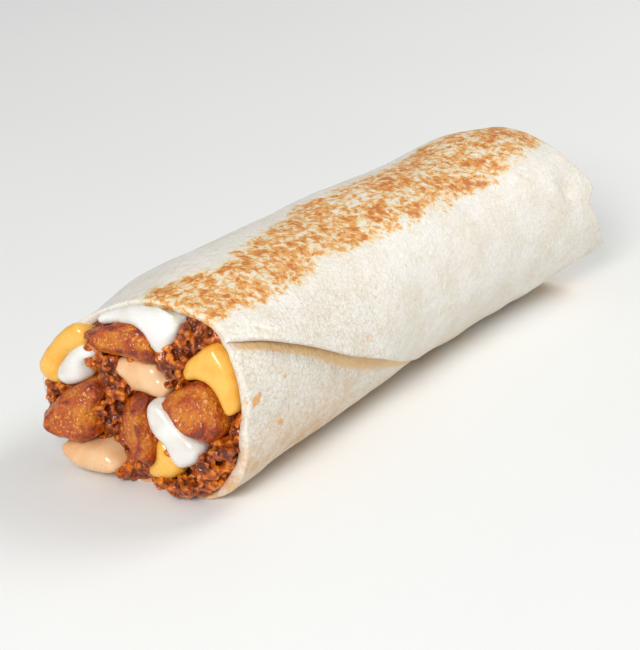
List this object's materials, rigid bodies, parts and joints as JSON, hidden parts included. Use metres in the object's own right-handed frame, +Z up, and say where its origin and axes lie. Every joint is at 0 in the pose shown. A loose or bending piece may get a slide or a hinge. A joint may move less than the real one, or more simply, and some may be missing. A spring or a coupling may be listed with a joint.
{
  "type": "burrito",
  "caption": "Griddled burrito lying on its side: a rolled flour tortilla tucked in at one end and open at the other on seasoned ground beef, fried potato, sour cream and sauces.",
  "frame": {"origin": "centre of the bounding box's footprint, on the surface the burrito lies on", "axes": "+X along the roll from the open end to the tucked end, +Z up, -Y the side with the sheet's free edge"},
  "size_m": [0.1636, 0.056, 0.0446],
  "materials": {
    "tortilla": "matt, floury, toasted brown along the top and the tucked end",
    "beef": "moist, dark brown",
    "potato": "fried crisp, slightly oily",
    "sour_cream": "smooth and wet",
    "cheese_sauce": "smooth and wet",
    "spicy_sauce": "smooth and wet"
  },
  "bodies": {
    "root": {"tortilla": "tortilla", "beef": "beef", "potato_1": "potato", "potato_2": "potato", "potato_3": "potato", "potato_4": "potato", "sour_cream_1": "sour_cream", "sour_cream_2": "sour_cream", "sour_cream_3": "sour_cream", "cheese_sauce_1": "cheese_sauce", "cheese_sauce_2": "cheese_sauce", "cheese_sauce_3": "cheese_sauce", "spicy_sauce_1": "spicy_sauce", "spicy_sauce_2": "spicy_sauce"}
  },
  "joints": []
}
